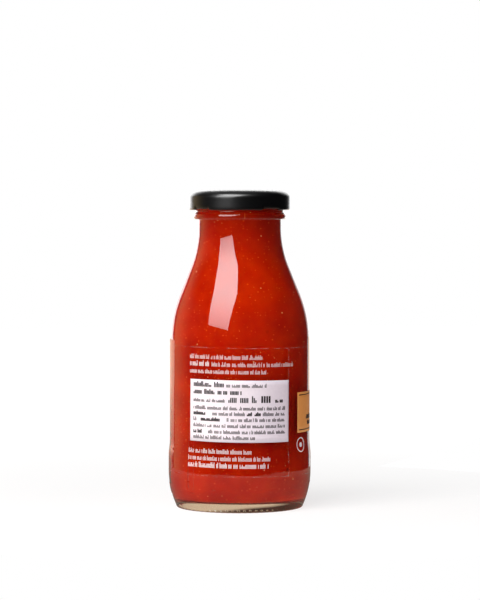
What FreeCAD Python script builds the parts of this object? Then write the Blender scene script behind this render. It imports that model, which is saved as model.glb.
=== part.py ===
"""Jar of pasta sauce: a clear glass jar with a twist-off steel cap and a clear film label.

Millimetres, +Z up. The origin is the centre of the ring that the jar stands on, and the jar's
axis is Z. The middle of the label's printed panel faces -Y.
"""
import FreeCAD, Part
import math
import os
import re

import Sketcher
from FreeCAD import Placement, Rotation, Vector

SIZES = {
    # the outside of the glass, from the foot up
    "jar_height": 142.1,        # standing ring to the rim that the cap seals on
    "standing_width": 3.34,     # width of the ring that the jar stands on
    "push_up": 2.6,             # rise of the hollow underside at the axis
    "foot_round": 1.2,          # small round between the standing ring and the heel
    "heel_bend": 40.0,          # radius of the heel's long curve
    "band_foot": 17.0,          # lower end of the contact band that guards the label
    "band_top": 23.0,
    "band_stand": 0.55,         # how far the band stands out from the straight wall
    "panel_foot": 31.0,         # lower end of the straight wall that the label lies on
    "body_radius": 31.45,
    "shoulder_bend": 56.7,      # radius of the full curve above the straight wall
    "shoulder_straight": 13.36,  # length of the shoulder's leaning straight stretch
    "neck_bend": 44.1,          # radius of the hollow curve below the neck
    "neck_length": 3.83,        # straight neck below the bead
    "neck_radius": 18.8,
    # the finish, which is the neck's upper end under and just below the cap
    "bead_drop": 12.4,          # rim down to the bead's underside
    "bead_stand": 2.05,         # how far the bead stands out from the neck
    "bead_round": 0.9,
    "finish_drop": 8.6,         # rim down to where the bead's upper slope ends
    "finish_stand": 0.9,        # how far the finish stands out from the neck
    "rim_round": 0.8,
    # the wall and the floor inside
    "wall": 2.85,
    "floor_height": 4.6,
    "floor_round": 6.5,
    # the sauce
    "fill_gap": 0.02,           # between the sauce and the glass
    "headspace": 3.6,           # rim down to the sauce
    # the cap
    "cap_room": 2.9,            # from the finish out to the outside of the cap's skirt
    "cap_depth": 8.8,           # from the cap's top ridge to its lower edge
    "cap_sheet": 0.5,
    "cap_shoulder": 3.2,        # round between the cap's top and its skirt
    "cap_curl": 1.5,            # height and depth of the rolled lower edge
    "cap_ridge": 7.9,           # from the skirt in to the sunk middle of the cap's top
    "cap_sink": 0.8,
    "cap_button": 9.0,          # outer radius of the raised button in the middle
    "cap_button_rise": 0.4,
    "cap_step": 1.0,            # width of each sloping step on the cap's top
    "lug_count": 4,
    "lug_phase": 40.0,          # degrees from +X to the first lug
    "lug_width": 9.6,
    "lug_clearance": 0.4,       # between a lug's tip and the finish
    "lug_lift": 0.6,            # how far the curl is pressed up at a lug
    "lug_dent": 0.35,           # how far the curl is pressed in at a lug
    # the label: a clear film round the body, and two printed fields on it
    "skin_gap": 0.04,           # between one skin of the label and the next
    "film": 0.12,
    "ink": 0.08,
    "label_foot": 16.4,
    "label_margin": 1.9,        # between the label's top and the shoulder
    "label_tilt": 0.8,          # degrees by which the film was wound askew
    "panel_from": -43.6,        # degrees round the jar from the front, positive to the right
    "panel_to": 43.4,
    "panel_height": 27.4,
    "panel_raise": 0.5,         # of the panel's middle above the label's
    "plate_from": 54.7,
    "plate_to": 124.7,
    "plate_height": 18.0,
    "plate_raise": -0.65,
}

FRONT = -90.0                   # polar angle of the jar's front, in degrees

doc = FreeCAD.newDocument("pasta_sauce_jar")


def fill_sheet():
    """Writes the driving sizes into the spreadsheet, one alias a row."""
    cells = doc.addObject("Spreadsheet::Sheet", "Sizes")
    for row, (alias, value) in enumerate(SIZES.items(), start=1):
        cells.set(f"A{row}", alias)
        cells.set(f"B{row}", str(value))
        cells.setAlias(f"B{row}", alias)
    doc.recompute()
    return cells


sheet = fill_sheet()


def value(formula):
    """The number that a formula of the sheet's aliases gives."""
    return float(sheet.evalExpression(formula))


def bound(formula):
    """The same formula, spelled for an object other than the sheet."""
    return re.sub(r"[a-z_]+", lambda word: f"Sizes.{word[0]}" if word[0] in SIZES else word[0],
                  formula)


# ---------------------------------------------------------------- half sections

def new_sketch(body, name):
    """A sketch on the body's own XZ plane: across is X, up is Z."""
    sketch = body.newObject("Sketcher::SketchObject", name)
    plane = next(f for f in body.Origin.OriginFeatures if f.Role == "XZ_Plane")
    sketch.AttachmentSupport = [(plane, "")]
    sketch.MapMode = "FlatFace"
    return sketch


def arc_between(start, end, radius, left):
    """The shorter arc from start to end, with its centre on the left or the right of the chord."""
    chord = end - start
    rise = math.sqrt(radius ** 2 - (chord.Length / 2) ** 2)
    side = Vector(-chord.y, chord.x, 0) / chord.Length * (1 if left else -1)
    centre = (start + end) / 2 + side * rise
    first = math.atan2(start.y - centre.y, start.x - centre.x)
    last = math.atan2(end.y - centre.y, end.x - centre.x)
    circle = Part.Circle(centre, Vector(0, 0, 1), radius)
    if left:                    # the arc runs anticlockwise from start to end
        return Part.ArcOfCircle(circle, first, last if last > first else last + 2 * math.pi)
    return Part.ArcOfCircle(circle, last, first if first > last else first + 2 * math.pi)


def pin_to_sheet(sketch, edge, end, corner):
    """Ties one end of an edge to the two formulas of its corner."""
    across, up = corner[:2]
    if across == "0":
        sketch.addConstraint(Sketcher.Constraint("PointOnObject", edge, end, -2))
    else:
        index = sketch.addConstraint(
            Sketcher.Constraint("DistanceX", -1, 1, edge, end, value(across)))
        sketch.setExpression(f"Constraints[{index}]", bound(across))
    if up == "0":
        sketch.addConstraint(Sketcher.Constraint("PointOnObject", edge, end, -1))
    else:
        index = sketch.addConstraint(
            Sketcher.Constraint("DistanceY", -1, 1, edge, end, value(up)))
        sketch.setExpression(f"Constraints[{index}]", bound(up))


def draw_outline(sketch, corners):
    """Draws a closed outline. A corner is (across, up), and (across, up, radius, side) where the
    edge that leaves it is an arc with its centre on that side, "left" or "right"."""
    points = [Vector(value(corner[0]), value(corner[1]), 0) for corner in corners]
    starts = []                 # which end of each edge lies at its corner
    for number, corner in enumerate(corners):
        start, end = points[number], points[(number + 1) % len(points)]
        if len(corner) == 2:
            sketch.addGeometry(Part.LineSegment(start, end), False)
            starts.append(1)
        else:
            left = corner[3] == "left"
            sketch.addGeometry(arc_between(start, end, value(corner[2]), left), False)
            starts.append(1 if left else 2)
    for number, corner in enumerate(corners):
        pin_to_sheet(sketch, number, starts[number], corner)
        before = (number - 1) % len(corners)
        sketch.addConstraint(Sketcher.Constraint(
            "Coincident", before, 3 - starts[before], number, starts[number]))
        if len(corner) == 4:
            index = sketch.addConstraint(
                Sketcher.Constraint("Radius", number, value(corner[2])))
            sketch.setExpression(f"Constraints[{index}]", bound(corner[2]))


def turned_body(label, corners, sweep="360"):
    """A PartDesign body turned about the jar's axis from one half section."""
    body = doc.addObject("PartDesign::Body", label)
    body.Label = label
    sketch = new_sketch(body, f"{label}_section")
    draw_outline(sketch, corners)
    turn = body.newObject("PartDesign::Revolution", f"{label}_turn")
    turn.Profile = sketch
    turn.ReferenceAxis = (sketch, ["V_Axis"])
    turn.setExpression("Angle", bound(sweep))
    sketch.Visibility = False
    doc.recompute()
    return body


# ---------------------------------------------------------------- the wall's curves

# The shoulder leans just enough for its two curves and its straight stretch to lead from the
# body's radius in to the neck's.
BENDS = "(shoulder_bend + neck_bend)"
LEAN = (f"(acos(({BENDS} - body_radius + neck_radius)"
        f" / sqrt(pow({BENDS}; 2) + pow(shoulder_straight; 2)))"
        f" - atan(shoulder_straight / {BENDS}))")
SHOULDER_RISE = f"({BENDS} * sin({LEAN}) + shoulder_straight * cos({LEAN}))"
BEAD_FOOT = "(jar_height - bead_drop)"
SHOULDER_FOOT = f"({BEAD_FOOT} - neck_length - {SHOULDER_RISE})"
LABEL_TOP = f"({SHOULDER_FOOT} - label_margin)"
BAND_RADIUS = "(body_radius + band_stand)"
FINISH_RADIUS = "(neck_radius + finish_stand)"
CAP_RADIUS = f"({FINISH_RADIUS} + cap_room)"
# The small foot round touches the long heel curve from inside, and the standing ring begins
# straight below the foot round's centre.
HEEL_REACH = "(heel_bend - foot_round)"
HEEL_DROP = "(band_foot - foot_round)"
HEEL_ACROSS = f"sqrt(pow({HEEL_REACH}; 2) - pow({HEEL_DROP}; 2))"
HEEL_MIDDLE = f"({BAND_RADIUS} - heel_bend)"
STANDING_OUTER = f"({HEEL_MIDDLE} + {HEEL_ACROSS})"
STANDING_INNER = f"({STANDING_OUTER} - standing_width)"


def shoulder_down(inset):
    """Corners from the neck down to the straight wall, set in by a formula: a hollow curve, a
    straight stretch and a full curve, each tangent to the next."""
    full = f"(shoulder_bend - {inset})"
    hollow = f"(neck_bend + {inset})"
    low_x = f"(body_radius - {inset} - {full} * (1 - cos({LEAN})))"
    low_z = f"({SHOULDER_FOOT} + {full} * sin({LEAN}))"
    return [
        (f"neck_radius - {inset}", f"{BEAD_FOOT} - neck_length", hollow, "left"),
        (f"{low_x} - shoulder_straight * sin({LEAN})",
         f"{low_z} + shoulder_straight * cos({LEAN})"),
        (low_x, low_z, full, "right"),
        (f"body_radius - {inset}", SHOULDER_FOOT),
    ]


def band_curve():
    """Radius and half angle of the two equal arcs between the straight wall and the band."""
    height = "(panel_foot - band_top)"
    radius = f"((pow({height}; 2) + pow(band_stand; 2)) / (4 * band_stand))"
    return radius, f"asin({height} / 2 / {radius})"


def band_down(outset):
    """Corners from the straight wall's foot down to the band's top, set out by a formula."""
    radius, half = band_curve()
    return [
        (f"body_radius + {outset}", "panel_foot", f"{radius} - {outset}", "left"),
        (f"{BAND_RADIUS} - {radius} + ({radius} + {outset}) * cos({half})",
         f"band_top + ({radius} + {outset}) * sin({half})", f"{radius} + {outset}", "right"),
        (f"{BAND_RADIUS} + {outset}", "band_top"),
    ]


def heel_down():
    """Corners from the band's foot down the heel to the standing ring's outer edge."""
    return [
        (BAND_RADIUS, "band_foot", "heel_bend", "right"),
        (f"{HEEL_MIDDLE} + heel_bend * {HEEL_ACROSS} / {HEEL_REACH}",
         f"band_foot - heel_bend * {HEEL_DROP} / {HEEL_REACH}", "foot_round", "right"),
        (STANDING_OUTER, "0"),
    ]


def inside_down(inset, floor):
    """Corners of the hollow from the neck down to the floor's middle."""
    return shoulder_down(inset) + [
        (f"body_radius - {inset}", f"{floor} + floor_round", "floor_round", "right"),
        (f"body_radius - {inset} - floor_round", floor),
        ("0", floor),
    ]


# ---------------------------------------------------------------- glass and sauce

def make_glass():
    """The jar: one wall of glass, with a bead below the cap, a full shoulder, a contact band that
    stands proud below the label, and a hollow underside inside the standing ring."""
    dome = f"((pow({STANDING_INNER}; 2) + pow(push_up; 2)) / (2 * push_up))"
    bead = "neck_radius + bead_stand"
    finish = [
        ("neck_radius", BEAD_FOOT),
        (f"{bead} - bead_round", BEAD_FOOT, "bead_round", "left"),
        (bead, f"{BEAD_FOOT} + bead_round"),
        (FINISH_RADIUS, "jar_height - finish_drop"),
        (FINISH_RADIUS, "jar_height - rim_round", "rim_round", "left"),
        (f"{FINISH_RADIUS} - rim_round", "jar_height"),
        ("neck_radius - wall + rim_round", "jar_height", "rim_round", "left"),
        ("neck_radius - wall", "jar_height - rim_round"),
    ]
    outside_up = upwards(shoulder_down("0") + band_down("0") + heel_down())
    underside = [("0", "push_up", dome, "right"), (STANDING_INNER, "0")]
    inside = inside_down("wall", "floor_height")
    return turned_body("jar_glass", underside + outside_up + finish + inside)


def upwards(corners):
    """The same corners in the opposite order, with each arc kept between its own two."""
    turned = {"left": "right", "right": "left"}
    flipped = []
    for number in range(len(corners) - 1, -1, -1):
        arc = corners[number - 1][2:] if number else ()
        side = (arc[0], turned[arc[1]]) if arc else ()
        flipped.append(corners[number][:2] + side)
    return flipped


def make_sauce():
    """The sauce: fills the hollow up to a level hidden by the cap."""
    inset = "(wall + fill_gap)"
    floor = "(floor_height + fill_gap)"
    top = [("0", "jar_height - headspace"), (f"neck_radius - {inset}", "jar_height - headspace")]
    return turned_body("sauce", top + inside_down(inset, floor))


# ---------------------------------------------------------------- cap

def make_cap():
    """The cap: a pressed steel shell with a sunk top and a button, a straight skirt, a rolled
    lower edge, and lugs turned in under the finish."""
    top = "(jar_height + cap_sheet)"
    sunk = f"({top} - cap_sink)"
    foot = f"({top} - cap_depth)"
    inner = f"{CAP_RADIUS} - cap_sheet"
    ridge = f"{CAP_RADIUS} - cap_ridge"
    outside = [
        ("0", f"{sunk} + cap_button_rise"),
        ("cap_button - cap_step", f"{sunk} + cap_button_rise"),
        ("cap_button", sunk),
        (f"{ridge} - cap_step", sunk),
        (ridge, top),
        (f"{CAP_RADIUS} - cap_shoulder", top, "cap_shoulder", "right"),
        (CAP_RADIUS, f"{top} - cap_shoulder"),
        (CAP_RADIUS, f"{foot} + cap_curl / 2", "cap_curl / 2", "right"),
    ]
    curl = [
        (f"{CAP_RADIUS} - cap_curl / 2", foot, "cap_curl / 2", "right"),
        (f"{CAP_RADIUS} - cap_curl", f"{foot} + cap_curl / 2"),
        (f"{CAP_RADIUS} - cap_curl", f"{foot} + cap_curl"),
        (inner, f"{foot} + cap_curl + cap_sheet"),
    ]
    inside = [
        (inner, f"{top} - cap_shoulder", "(cap_shoulder - cap_sheet)", "left"),
        (f"{CAP_RADIUS} - cap_shoulder", f"{top} - cap_sheet"),
        (ridge, f"{top} - cap_sheet"),
        (f"{ridge} - cap_step", f"{sunk} - cap_sheet"),
        ("cap_button", f"{sunk} - cap_sheet"),
        ("cap_button - cap_step", f"{sunk} - cap_sheet + cap_button_rise"),
        ("0", f"{sunk} - cap_sheet + cap_button_rise"),
    ]
    body = turned_body("cap", outside + curl + inside)
    add_lugs(body, foot)
    return body


def box_sketch(body, name, near, far, low, high):
    """A rectangle on the body's XZ plane, its four sides bound to formulas."""
    sketch = new_sketch(body, name)
    draw_outline(sketch, [(near, low), (far, low), (far, high), (near, high)])
    return sketch


def repeat_lugs(body, feature, name):
    """Repeats a lug's feature round the cap."""
    pattern = body.newObject("PartDesign::PolarPattern", name)
    pattern.Originals = [feature]
    axis = next(f for f in body.Origin.OriginFeatures if f.Role == "Z_Axis")
    pattern.Axis = (axis, [""])
    pattern.Angle = 360
    pattern.setExpression("Occurrences", "Sizes.lug_count")
    body.Tip = pattern
    doc.recompute()


def add_lugs(body, foot):
    """At each lug the curl is turned in towards the finish, and its outer lower edge is pressed
    up and in."""
    tongue = box_sketch(body, "lug_tongue", f"{FINISH_RADIUS} + lug_clearance",
                        f"{CAP_RADIUS} - cap_curl / 2", f"{foot} + lug_lift",
                        f"{foot} + lug_lift + 2 * cap_sheet")
    pad = body.newObject("PartDesign::Pad", "lug")
    pad.Profile = tongue
    pad.SideType = "Symmetric"
    pad.setExpression("Length", "Sizes.lug_width")
    body.Tip = pad
    doc.recompute()
    repeat_lugs(body, pad, "lugs")

    notch = box_sketch(body, "lug_notch", f"{CAP_RADIUS} - lug_dent",
                       f"{CAP_RADIUS} + cap_sheet", f"{foot} - lug_lift", f"{foot} + cap_curl")
    dent = body.newObject("PartDesign::Pocket", "lug_dents_first")
    dent.Profile = notch
    dent.SideType = "Symmetric"
    dent.setExpression("Length", "Sizes.lug_width")
    body.Tip = dent
    doc.recompute()
    repeat_lugs(body, dent, "lug_dents")
    body.Placement = Placement(Vector(), Rotation(Vector(0, 0, 1), value("lug_phase")))


# ---------------------------------------------------------------- label

def askew_slab(name, low, high):
    """A flat block between two heights, turned about the front-to-back axis by the film's tilt.
    It trims a skin of the label as the film was wound: lower on the right."""
    side = f"(4 * {BAND_RADIUS})"
    block = doc.addObject("Part::Box", name)
    for prop, formula in (("Length", side), ("Width", side), ("Height", f"{high} - {low}")):
        block.setExpression(prop, bound(formula))
    corner = Vector(-value(side) / 2, -value(side) / 2, value(low))
    middle = Vector(0, 0, value(f"(label_foot + {LABEL_TOP}) / 2"))
    turn = Placement(Vector(), Rotation(Vector(0, 1, 0), value("label_tilt")), middle)
    block.Placement = turn.multiply(Placement(corner, Rotation()))
    return block


def label_skin(label, inner, outer, start, sweep, low, high):
    """One skin of the label: it follows the straight wall and the band below it, turned through
    a sweep of degrees from its starting angle, and is trimmed between two heights."""
    spare = f"({BAND_RADIUS} * tan(label_tilt))"
    foot, top = f"label_foot - {spare}", f"{LABEL_TOP} + {spare}"
    blank = turned_body(f"{label}_blank", [
        (f"{BAND_RADIUS} + {outer}", foot), *upwards(band_down(outer)),
        (f"body_radius + {outer}", top), (f"body_radius + {inner}", top),
        *band_down(inner), (f"{BAND_RADIUS} + {inner}", foot)], sweep)
    blank.Placement = Placement(Vector(), Rotation(Vector(0, 0, 1), FRONT + value(start)))
    skin = doc.addObject("Part::MultiCommon", label)
    skin.Label = label
    skin.Shapes = [blank, askew_slab(f"{label}_slab", low, high)]
    doc.recompute()
    return skin


def printed_field(name):
    """A printed field on the film, set round and up the label by its own sizes."""
    inner = "(2 * skin_gap + film)"
    middle = f"(label_foot + {LABEL_TOP}) / 2 + {name}_raise"
    return label_skin(f"label_{name}", inner, f"({inner} + ink)", f"{name}_from",
                      f"{name}_to - {name}_from", f"({middle} - {name}_height / 2)",
                      f"({middle} + {name}_height / 2)")


# ---------------------------------------------------------------- the whole

parts = [
    make_glass(),
    make_sauce(),
    make_cap(),
    label_skin("label_film", "skin_gap", "(skin_gap + film)", "panel_to", "360", "label_foot",
               LABEL_TOP),
    printed_field("panel"),
    printed_field("plate"),
]
doc.recompute()

for item in doc.Objects:
    if "Invalid" in item.State or "Error" in item.State:
        raise RuntimeError(f"{item.Label} failed: {item.State}")
for part in parts:
    if part.Shape.isNull() or not part.Shape.isValid() or not part.Shape.Solids:
        raise RuntimeError(f"{part.Label} has no valid solid")

os.makedirs("parts", exist_ok=True)
for part in parts:
    part.Shape.exportStep(f"parts/{part.Label}.step")
    box = part.Shape.BoundBox
    print(f"{part.Label}: {len(part.Shape.Solids)} solid, {part.Shape.Volume / 1000:.2f} cm3,"
          f" Z {box.ZMin:.2f} to {box.ZMax:.2f}, X {box.XMin:.2f} to {box.XMax:.2f}")
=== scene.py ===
import math

import bpy
import numpy as np
from mathutils import Euler, Matrix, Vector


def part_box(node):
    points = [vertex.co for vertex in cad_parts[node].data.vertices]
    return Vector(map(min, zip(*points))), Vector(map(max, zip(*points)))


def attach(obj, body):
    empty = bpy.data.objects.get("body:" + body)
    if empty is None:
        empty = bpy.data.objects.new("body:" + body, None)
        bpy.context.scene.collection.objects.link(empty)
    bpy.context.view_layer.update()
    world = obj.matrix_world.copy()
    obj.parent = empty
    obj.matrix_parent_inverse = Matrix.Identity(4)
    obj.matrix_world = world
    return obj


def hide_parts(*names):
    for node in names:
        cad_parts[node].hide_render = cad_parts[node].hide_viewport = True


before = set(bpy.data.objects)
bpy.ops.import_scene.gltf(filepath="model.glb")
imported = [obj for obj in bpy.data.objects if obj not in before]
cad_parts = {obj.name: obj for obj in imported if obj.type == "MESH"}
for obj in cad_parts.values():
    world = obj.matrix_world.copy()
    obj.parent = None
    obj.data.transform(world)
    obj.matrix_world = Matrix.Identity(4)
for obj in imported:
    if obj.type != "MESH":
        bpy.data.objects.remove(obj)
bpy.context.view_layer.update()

# ---------------------------------------------------------------- the glass jar
# The jar is soda-lime container glass, blown in a two-part iron mould: a thick foot that stands
# on a stippled ring, a contact band, a straight wall, a long shoulder, and a neck that ends in a
# transfer bead and the finish that the cap grips. Its outer face keeps the mould's marks.

MM = 0.001
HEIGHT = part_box("jar_glass")[1][2] / MM
BAND_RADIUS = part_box("jar_glass")[1][0] / MM
BAND_STAND = 0.55
BODY_RADIUS = BAND_RADIUS - BAND_STAND
NECK_RADIUS = 18.8
WALL = 2.85
FLOOR = 4.6
FLOOR_ROUND = 6.5
PUSH_UP = 2.6
FOOT_ROUND, STANDING_WIDTH = 1.2, 3.34
HEEL_BEND = 40.0
BAND_FOOT, BAND_TOP, PANEL_FOOT = 17.0, 23.0, 31.0
SHOULDER_BEND, SHOULDER_STRAIGHT, NECK_BEND = 56.7, 13.36, 44.1
BEAD_FOOT = HEIGHT - 12.4
NECK_LENGTH = 3.83
BEAD_RADIUS, BEAD_ROUND = NECK_RADIUS + 2.05, 1.75
BEAD_FROM, BEAD_TO, BEAD_RISE = -50, 70, 0.75 * BEAD_ROUND      # degrees, degrees, millimetres
NECK_FILLET = 0.3
FINISH_FOOT, FINISH_RADIUS, RIM_ROUND = HEIGHT - 8.6, NECK_RADIUS + 0.9, 0.8

# The shoulder leans just enough to lead from the body's radius in to the neck's.
BENDS = SHOULDER_BEND + NECK_BEND
LEAN = (math.acos((BENDS - BODY_RADIUS + NECK_RADIUS) / math.hypot(BENDS, SHOULDER_STRAIGHT))
        - math.atan(SHOULDER_STRAIGHT / BENDS))
SHOULDER_TOP = BEAD_FOOT - NECK_LENGTH
SHOULDER_FOOT = (SHOULDER_TOP - BENDS * math.sin(LEAN) - SHOULDER_STRAIGHT * math.cos(LEAN))


def arc(across, up, radius, first, last, count):
    """Points of a circle about (across, up): radius times the cosine and sine of each angle, in
    degrees from the outward direction, evenly spaced from first to last."""
    angle = np.radians(np.linspace(first, last, count))
    return np.column_stack([across + radius * np.cos(angle), up + radius * np.sin(angle)])


def straight(start, end, count):
    """Points evenly spaced along a straight line, without its end."""
    share = np.arange(count)[:, None] / count
    return np.array(start) + (np.array(end) - np.array(start)) * share


def shoulder_points(inset):
    """The wall from the straight part up to the neck, moved in by inset: a full arc, a straight
    lean and a hollow arc, each tangent to the next, all three parallel to the outer face."""
    lean = math.degrees(LEAN)
    lower = arc(BODY_RADIUS - SHOULDER_BEND, SHOULDER_FOOT, SHOULDER_BEND - inset, 0, lean, 16)
    upper = arc(NECK_RADIUS + NECK_BEND, SHOULDER_TOP, NECK_BEND + inset, 180 + lean, 180, 16)
    return np.vstack([lower, straight(lower[-1], upper[0], 5)[1:], upper])


def band_points():
    """The wall from the band's top up to the straight part: two equal arcs whose radius is
    (height squared plus depth squared) over four times the depth."""
    height = PANEL_FOOT - BAND_TOP
    radius = (height ** 2 + BAND_STAND ** 2) / (4 * BAND_STAND)
    half = math.degrees(math.asin(height / 2 / radius))
    lower = arc(BAND_RADIUS - radius, BAND_TOP, radius, 0, half, 7)
    upper = arc(BODY_RADIUS + radius, PANEL_FOOT, radius, 180 + half, 180, 7)
    return np.vstack([lower, upper[1:]])


HEEL_REACH, HEEL_DROP = HEEL_BEND - FOOT_ROUND, BAND_FOOT - FOOT_ROUND
HEEL_MIDDLE = BAND_RADIUS - HEEL_BEND
STANDING_OUTER = HEEL_MIDDLE + math.sqrt(HEEL_REACH ** 2 - HEEL_DROP ** 2)
STANDING_INNER = STANDING_OUTER - STANDING_WIDTH


def heel_points():
    """The foot round and the long heel arc, tangent to the standing ring, to each other and to
    the band."""
    turn = math.degrees(math.asin(HEEL_DROP / HEEL_REACH))
    foot = arc(STANDING_OUTER, FOOT_ROUND, FOOT_ROUND, -90, -turn, 6)
    return np.vstack([foot, arc(HEEL_MIDDLE, BAND_FOOT, HEEL_BEND, -turn, 0, 38)[1:]])


def jar_profile():
    """The whole section of the glass, from the underside's middle, up the outside, over the rim
    and down the inside to the floor's middle."""
    dome = (STANDING_INNER ** 2 + PUSH_UP ** 2) / (2 * PUSH_UP)
    edge = math.degrees(math.asin(STANDING_INNER / dome))
    bore = NECK_RADIUS - WALL
    inner = BODY_RADIUS - WALL - FLOOR_ROUND
    return np.vstack([
        arc(0, PUSH_UP - dome, dome, 90, 90 - edge, 10),
        heel_points(),
        band_points(),
        straight((BODY_RADIUS, PANEL_FOOT), (BODY_RADIUS, SHOULDER_FOOT), 6)[1:],
        shoulder_points(0),
        arc(NECK_RADIUS + NECK_FILLET, BEAD_FOOT - NECK_FILLET, NECK_FILLET, 180, 100, 4),
        arc(BEAD_RADIUS - BEAD_ROUND, BEAD_FOOT + BEAD_RISE, BEAD_ROUND, BEAD_FROM, BEAD_TO, 15),
        [(FINISH_RADIUS + 0.12, FINISH_FOOT - 0.25), (FINISH_RADIUS, FINISH_FOOT + 0.1)],
        arc(FINISH_RADIUS - RIM_ROUND, HEIGHT - RIM_ROUND, RIM_ROUND, 0, 90, 5),
        arc(bore + RIM_ROUND, HEIGHT - RIM_ROUND, RIM_ROUND, 90, 180, 5),
        shoulder_points(WALL)[::-1],
        arc(inner, FLOOR + FLOOR_ROUND, FLOOR_ROUND, 0, -90, 12),
        [(0, FLOOR)],
    ])


def made_of(name, points, faces):
    """A new object whose mesh has these points and faces."""
    mesh = bpy.data.meshes.new(name)
    mesh.from_pydata(points.tolist(), [], faces)
    piece = bpy.data.objects.new(name, mesh)
    bpy.context.collection.objects.link(piece)
    return piece


def lathe(name, profile, columns, relief=None):
    """A closed surface of revolution. Row i, column j lies at profile[i], turned by j / columns
    of a whole turn, with its radius grown by relief(angle, height). The first and the last row
    are single points on the axis, each closed by a fan."""
    turn = np.arange(columns) * 2 * np.pi / columns
    across, up = profile[1:-1, 0, None], profile[1:-1, 1, None]
    radius = across + (relief(turn[None, :], across, up) if relief else 0 * turn)
    body = np.stack(np.broadcast_arrays(radius * np.cos(turn), radius * np.sin(turn), up), axis=-1)
    rows = len(body)
    first, last = rows * columns, rows * columns + 1
    points = np.vstack([body.reshape(-1, 3), (0, 0, profile[0, 1]), (0, 0, profile[-1, 1])]) * MM
    i, j = np.meshgrid(np.arange(rows - 1), np.arange(columns), indexing="ij")
    right = (j + 1) % columns
    quads = np.stack([i * columns + j, i * columns + right, (i + 1) * columns + right,
                      (i + 1) * columns + j], axis=-1).reshape(-1, 4)
    here = np.arange(columns)
    after = (here + 1) % columns
    top = (rows - 1) * columns
    fans = np.vstack([np.column_stack([np.full(columns, first), after, here]),
                      np.column_stack([np.full(columns, last), top + here, top + after])])
    piece = made_of(name, points, quads.tolist() + fans.tolist())
    piece.data.polygons.foreach_set("use_smooth", [True] * len(piece.data.polygons))
    return piece


FRONT = -np.pi / 2
MARKS = [                       # kind, degrees from the front, height, half size, half stroke
    ("ring", -46, 11.4, 1.7, 0.3), ("bar", -46, 8.2, 1.6, 0.3),
    ("ring", -23, 8.9, 1.4, 0.3), ("bar", -23, 6.4, 1.2, 0.3), ("bar", 84, 11.6, 1.4, 0.45),
    ("bar", -84, 11.0, 1.4, 0.45), ("ring", -92, 8.2, 1.9, 0.4), ("dot", 140, 7.0, 0.0, 0.9),
    ("ring", 160, 7.6, 1.6, 0.35), ("bar", 184, 7.2, 1.8, 0.35), ("dot", 200, 7.0, 0.0, 0.9),
]
MARK_RISE, MARK_FLANK = 0.2, 0.45
STIPPLES, STIPPLE_RISE, STIPPLE_SLANT = 68, 0.3, 1.2
STIPPLE_OUT, STIPPLE_HALF, STIPPLE_TOP = 0.3, 0.6, 2        # from the standing ring's outer edge
PARTING_AT, PARTING_RISE, PARTING_HALF = 88, 0.05, 0.45     # degrees from the front, then mm


def step_down(distance, half):
    """One inside a stroke and nothing outside it, with a soft flank of MARK_FLANK between."""
    share = np.clip((half - distance) / MARK_FLANK + 0.5, 0, 1)
    return share * share * (3 - 2 * share)


def mould_marks(turn, across, up):
    """How far the glass's face stands out: raised rings, bars and dots on the heel, slanting
    stipples on the standing ring's edge, the mould's two parting lines, and a slow unevenness
    of one or two hundredths of a millimetre. The foot of the inner wall is within these bounds
    too and moves with the marks, which leaves thin strips of air between glass and sauce."""
    wide = across > NECK_RADIUS - 0.1
    below = (across > BODY_RADIUS - 5) & (up < SHOULDER_FOOT)
    rise = np.zeros(np.broadcast(turn, up).shape)
    for kind, degrees, height, size, half in MARKS:
        along = (turn - FRONT - math.radians(degrees) + np.pi) % (2 * np.pi) - np.pi
        along = along * (BAND_RADIUS - 1)
        if kind == "bar":
            distance = np.hypot(np.maximum(np.abs(along) - size, 0), up - height)
        else:
            distance = np.abs(np.hypot(along, up - height) - size)
        rise = np.maximum(rise, MARK_RISE * step_down(distance, half))
    outward = across - STANDING_OUTER
    wave = np.cos(STIPPLES * turn + STIPPLE_SLANT * outward)
    ring = np.exp(-((outward - STIPPLE_OUT) / STIPPLE_HALF) ** 2) * (up < STIPPLE_TOP)
    rise = rise + STIPPLE_RISE * ring * np.clip(wave, 0, 1) * below
    parting = np.abs(np.sin(turn - FRONT - math.radians(PARTING_AT))) * across
    rise = rise + PARTING_RISE * np.exp(-(parting / PARTING_HALF) ** 2) * wide
    uneven = 0.015 * np.sin(3 * turn + up / 9) + 0.01 * np.sin(7 * turn - up / 5 + 1)
    return rise * below + uneven * wide


def linear(code):
    """An sRGB hex colour as the linear numbers that Blender's sockets take."""
    shares = [int(code[i:i + 2], 16) / 255 for i in (1, 3, 5)]
    curved = [s / 12.92 if s <= 0.04045 else ((s + 0.055) / 1.055) ** 2.4 for s in shares]
    return (*curved, 1.0)


def add(tree, kind, inputs=None, **settings):
    """Adds one node. Settings are its own properties; inputs gives each socket a value or the
    output that feeds it."""
    node = tree.nodes.new(kind)
    for key, value in settings.items():
        setattr(node, key, value)
    for key, value in (inputs or {}).items():
        if isinstance(value, bpy.types.NodeSocket):
            tree.links.new(value, node.inputs[key])
        else:
            node.inputs[key].default_value = value
    return node


def material(name):
    """A new material with an empty node tree and its output node."""
    made = bpy.data.materials.new(name)
    made.use_nodes = True
    made.node_tree.nodes.clear()
    return made, made.node_tree, add(made.node_tree, "ShaderNodeOutputMaterial")


jar = lathe("jar", jar_profile(), 512, mould_marks)

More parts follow.
